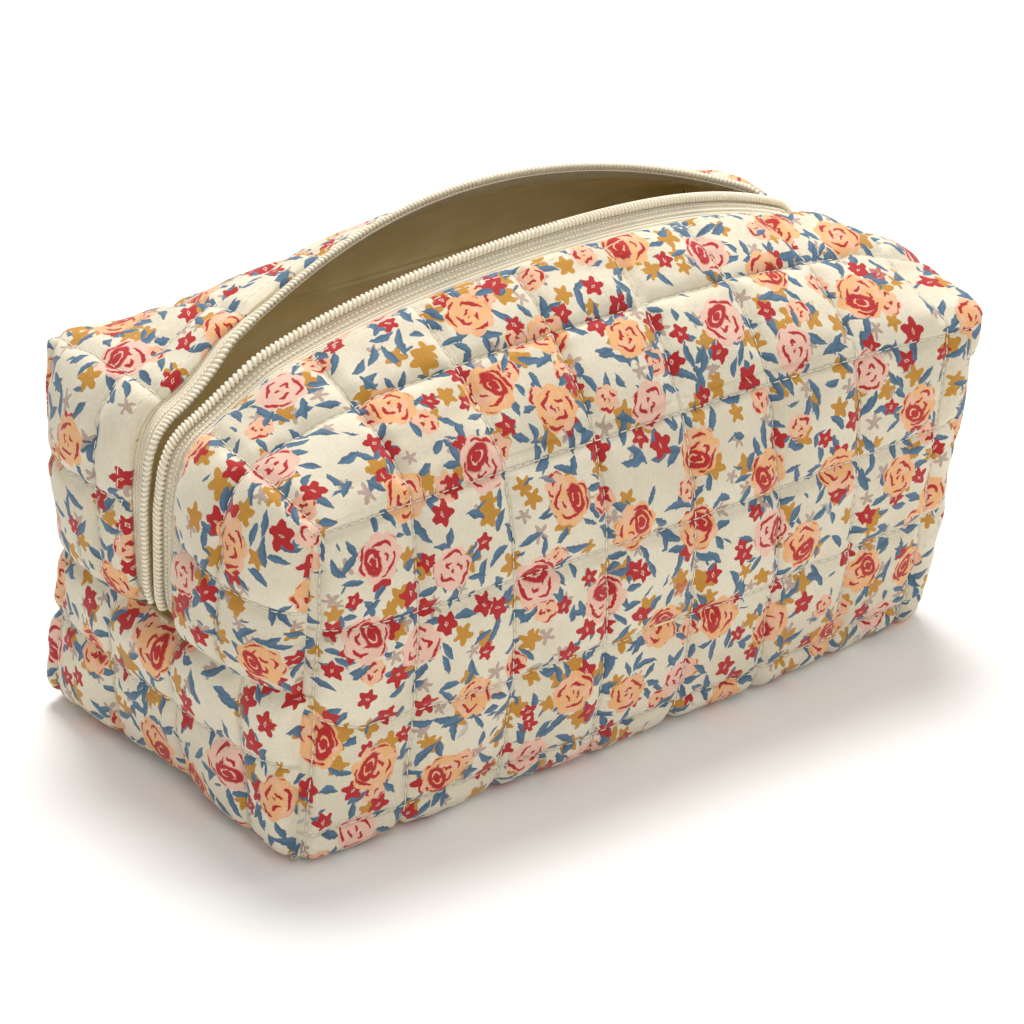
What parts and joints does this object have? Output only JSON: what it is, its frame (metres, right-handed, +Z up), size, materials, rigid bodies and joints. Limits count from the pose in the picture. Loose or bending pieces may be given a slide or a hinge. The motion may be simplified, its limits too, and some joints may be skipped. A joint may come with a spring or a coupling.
{
  "type": "makeup bag",
  "caption": "Boxy quilted cotton makeup bag with floral print, smooth lining and a long zip over the top; the lips stand open and close as the slider runs across.",
  "frame": {"origin": "centre of the flat base, on the surface the bag stands on", "axes": "+X along the zip towards the end where the slider rests, +Y towards the back wall, +Z up"},
  "size_m": [0.2505, 0.135, 0.146],
  "materials": {
    "printed_cotton": "plain weave cotton, cream ground with a small floral print, quilted",
    "wadding": "bonded polyester wadding",
    "lining": "smooth coated lining with a slight sheen",
    "zip_tape": "woven polyester tape",
    "zip_coil": "satin nylon",
    "slider_metal": "cream enamel on a die casting"
  },
  "bodies": {
    "bag": {"front_cover": "printed_cotton", "back_cover": "printed_cotton", "base_cover": "printed_cotton", "left_lower_cover": "printed_cotton", "left_upper_cover": "printed_cotton", "right_lower_cover": "printed_cotton", "right_upper_cover": "printed_cotton", "front_wadding": "wadding", "back_wadding": "wadding", "base_wadding": "wadding", "left_end_wadding": "wadding", "right_end_wadding": "wadding", "front_lining": "lining", "back_lining": "lining", "base_lining": "lining", "left_end_lining": "lining", "right_end_lining": "lining", "left_zip_tapes": "zip_tape", "right_zip_tapes": "zip_tape", "left_zip_coils": "zip_coil", "right_zip_coils": "zip_coil"},
    "front_lip": {"front_lip_cover": "printed_cotton", "front_lip_wadding": "wadding", "front_lip_lining": "lining", "front_zip_tape": "zip_tape", "front_zip_coil": "zip_coil"},
    "back_lip": {"back_lip_cover": "printed_cotton", "back_lip_wadding": "wadding", "back_lip_lining": "lining", "back_zip_tape": "zip_tape", "back_zip_coil": "zip_coil"},
    "slider": {"slider_body": "slider_metal", "slider_bridge": "slider_metal"},
    "pull": {"pull_tab": "slider_metal"}
  },
  "joints": [
    {"name": "front_lip_fold", "type": "hinge", "parent": "bag", "child": "front_lip", "pos_m": [0, -0.0595, 0.1045], "axis": [-1, 0, 0], "range_deg": [0, 36]},
    {"name": "back_lip_fold", "type": "hinge", "parent": "bag", "child": "back_lip", "pos_m": [0, 0.0595, 0.1045], "axis": [1, 0, 0], "range_deg": [0, 36.01]},
    {"name": "slider_travel", "type": "hinge", "parent": "bag", "child": "slider", "pos_m": [-0.00429, 0, -0.12385], "axis": [0, -1, 0], "range_deg": [0, 50]},
    {"name": "pull_flip", "type": "hinge", "parent": "slider", "child": "pull", "pos_m": [0.11058, 0, 0.11113], "axis": [0, -1, 0], "range_deg": [0, 168]}
  ],
  "couplings": [
    {"joint": "back_lip_fold", "follows": "front_lip_fold", "ratio": 1},
    {"joint": "slider_travel", "follows": "front_lip_fold", "ratio": 1.3888}
  ]
}
